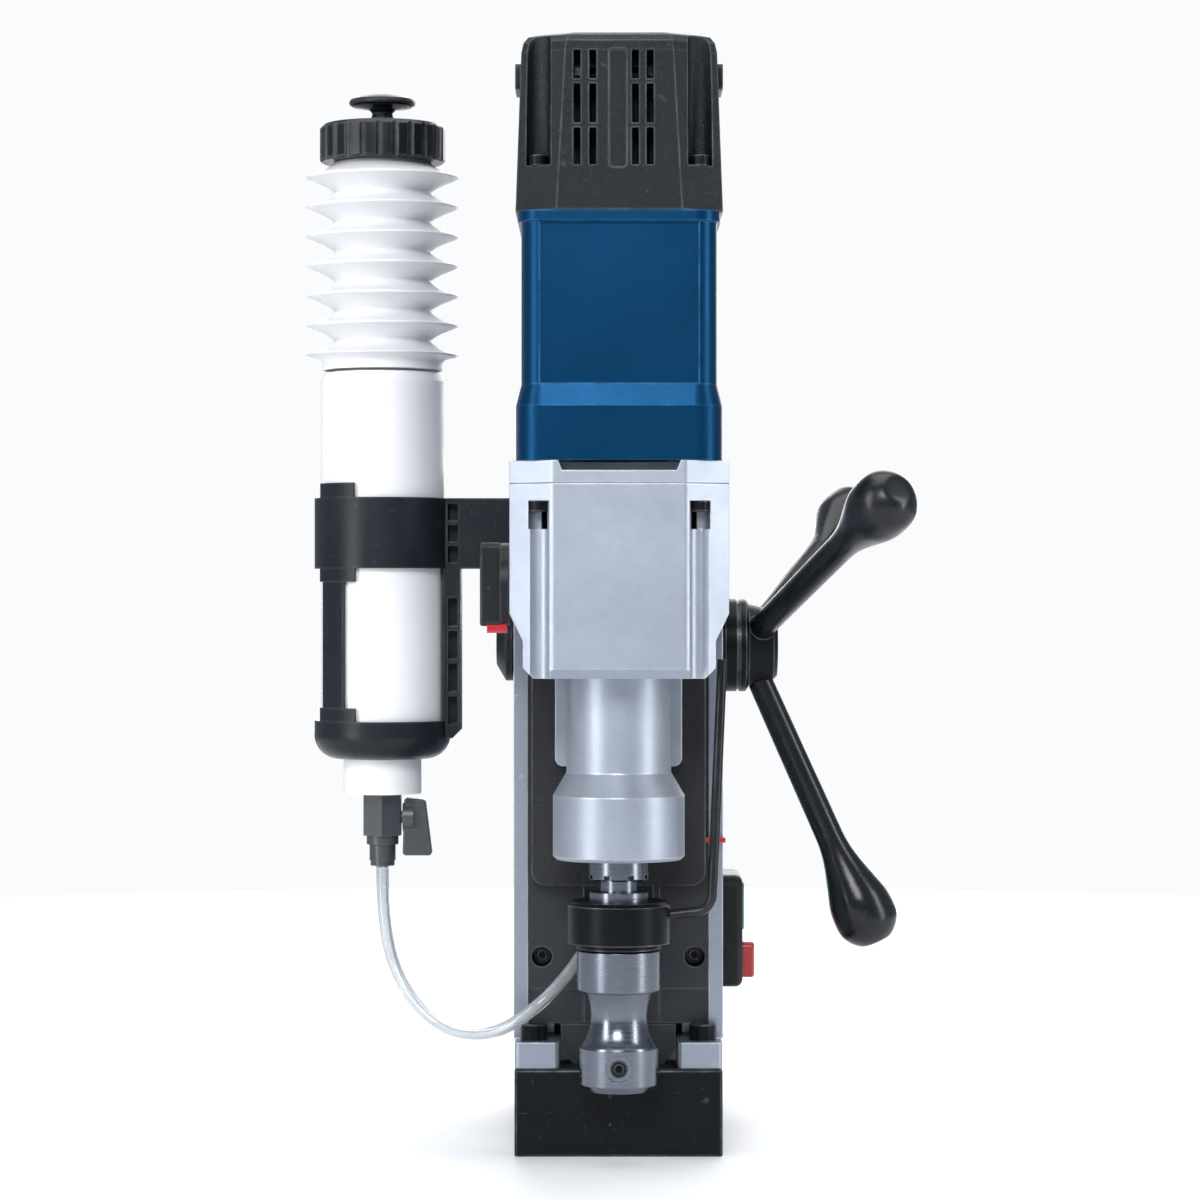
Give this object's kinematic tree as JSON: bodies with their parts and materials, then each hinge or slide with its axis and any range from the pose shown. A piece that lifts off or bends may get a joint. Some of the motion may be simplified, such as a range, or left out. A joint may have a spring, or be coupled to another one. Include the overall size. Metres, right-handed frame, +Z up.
{
  "type": "magnetic drill press",
  "caption": "Magnet-foot core drill: column with rack feed and three handles, blue motor, gearbox, tool holder with coolant ring, side bottle with hose",
  "frame": {"origin": "centre of the magnet foot's clamping face", "axes": "+X towards the feed handles, -Y towards the tool, +Z up the column"},
  "size_m": [0.2911, 0.2817, 0.53],
  "materials": {
    "cast_silver": "fine sand-cast aluminium, satin",
    "column_silver": "satin painted aluminium casting",
    "magnet_black": "black painted steel with a ground lower face",
    "guide_black": "blackened ground steel",
    "slide_black": "textured black casting",
    "motor_blue": "satin metallic blue paint on cast aluminium",
    "cap_black": "finely textured black plastic",
    "handle_black": "smooth black plastic",
    "box_black": "satin black plastic",
    "holder_black": "satin black plastic",
    "ring_black": "black oxidised steel",
    "hub_black": "black oxidised steel",
    "rod_black": "glossy black coated steel wire",
    "bright_steel": "turned bright steel",
    "gear_steel": "hardened gear steel",
    "screw_black": "black oxidised screws",
    "screw_zinc": "zinc plated screws",
    "brass": "machined brass",
    "copper": "enamelled copper winding",
    "potting": "cast resin",
    "bottle_milky": "milky translucent plastic",
    "hose_clear": "clear soft tube",
    "cap_ribbed": "ribbed black plastic",
    "valve_plastic": "black and smoke plastic",
    "signal_red": "red plastic",
    "signal_green": "green plastic",
    "rubber": "black rubber",
    "board_green": "printed circuit board",
    "laminations": "stacked electrical steel"
  },
  "bodies": {
    "stand": {"magnet_foot": "magnet_black", "magnet_coil": "copper", "magnet_potting": "potting", "magnet_cable_cover": "guide_black", "column_frame": "column_silver", "guide_rail_left": "guide_black", "guide_rail_right": "guide_black", "rail_screws": "screw_black", "travel_stop": "guide_black", "gib_strip": "guide_black", "gib_screws": "screw_zinc", "foot_screws": "screw_black", "column_top_cover": "guide_black", "rear_cover": "guide_black", "cover_screws": "screw_zinc", "carry_handle": "handle_black", "cable_gland": "rubber", "shaft_bushes": "brass", "switch_box": "box_black", "control_board": "board_green", "bottle_holder": "holder_black", "coolant_bottle": "bottle_milky", "bottle_bellows": "bottle_milky", "valve_body": "valve_plastic", "coolant_hose": "hose_clear"},
    "start_key": {"start_button": "signal_green"},
    "stop_key": {"stop_button": "signal_red"},
    "valve_key": {"valve_lever": "valve_plastic"},
    "bottle_top": {"bottle_cap": "cap_ribbed"},
    "vent_knob": {"bottle_knob": "cap_ribbed"},
    "carriage": {"slide_carriage": "slide_black", "feed_rack": "gear_steel", "gear_housing": "cast_silver", "gear_cover": "cast_silver", "housing_screws": "screw_black", "motor_housing": "motor_blue", "motor_cap": "cap_black", "cap_screws": "screw_black", "motor_stator": "laminations", "brush_holders": "brass", "motor_bearings": "bright_steel", "spindle_housing": "cast_silver", "spindle_bearings": "bright_steel", "coolant_ring": "ring_black", "ring_seals": "rubber", "ring_nipple": "ring_black", "torque_rod": "rod_black", "depth_pointer": "signal_red"},
    "selector": {"gear_selector": "box_black"},
    "release": {"selector_release": "signal_red"},
    "rotor": {"armature": "laminations"},
    "gear_shaft": {"layshaft": "gear_steel"},
    "drill_spindle": {"spindle": "bright_steel", "arbor_holder": "bright_steel", "arbor_screws": "screw_black"},
    "feed_shaft": {"pinion_shaft": "gear_steel", "feed_hub": "hub_black", "lever_handles": "handle_black", "shaft_end_cap": "box_black"}
  },
  "joints": [
    {"name": "feed", "type": "slide", "parent": "stand", "child": "carriage", "axis": [0, 0, 1], "range_m": [-0.028, 0.104], "deforming": ["coolant_hose"]},
    {"name": "feed_turn", "type": "hinge", "parent": "stand", "child": "feed_shaft", "pos_m": [0, -0.04, 0.245], "axis": [1, 0, 0], "range_deg": [-426.1, 115.1]},
    {"name": "spindle_turn", "type": "hinge", "parent": "carriage", "child": "drill_spindle", "pos_m": [0, -0.119, 0.2], "axis": [0, 0, 1], "continuous": true},
    {"name": "layshaft_turn", "type": "hinge", "parent": "carriage", "child": "gear_shaft", "pos_m": [0, -0.143, 0.28], "axis": [0, 0, 1], "continuous": true},
    {"name": "armature_turn", "type": "hinge", "parent": "carriage", "child": "rotor", "pos_m": [0, -0.119, 0.38], "axis": [0, 0, 1], "continuous": true},
    {"name": "selector_turn", "type": "hinge", "parent": "carriage", "child": "selector", "pos_m": [-0.056, -0.127, 0.2746], "axis": [1, 0, 0], "range_deg": [0, 90]},
    {"name": "release_slide", "type": "slide", "parent": "selector", "child": "release", "axis": [0, 0, 1], "range_m": [0, 0.0025], "stiffness_N_per_m": 400, "springref_m": -0.001},
    {"name": "start_press", "type": "slide", "parent": "stand", "child": "start_key", "axis": [-1, 0, 0], "range_m": [0, 0.0012], "stiffness_N_per_m": 800, "springref_m": -0.001},
    {"name": "stop_press", "type": "slide", "parent": "stand", "child": "stop_key", "axis": [-1, 0, 0], "range_m": [0, 0.003], "stiffness_N_per_m": 500, "springref_m": -0.001},
    {"name": "valve_turn", "type": "hinge", "parent": "stand", "child": "valve_key", "pos_m": [-0.1, -0.06, 0.161], "axis": [1, 0, 0], "range_deg": [0, 90]},
    {"name": "bottle_press", "type": "slide", "parent": "stand", "child": "bottle_top", "axis": [0, 0, -1], "range_m": [0, 0.05], "stiffness_N_per_m": 400, "springref_m": -0.004, "deforming": ["bottle_bellows"]},
    {"name": "vent_turn", "type": "hinge", "parent": "bottle_top", "child": "vent_knob", "pos_m": [-0.1154, -0.06, 0.505], "axis": [0, 0, 1], "range_deg": [0, 180]}
  ],
  "couplings": [
    {"joint": "feed_turn", "follows": "feed", "rad_per_m": -71.429},
    {"joint": "layshaft_turn", "follows": "spindle_turn", "ratio": -2.4286},
    {"joint": "armature_turn", "follows": "spindle_turn", "ratio": 7.9796}
  ]
}
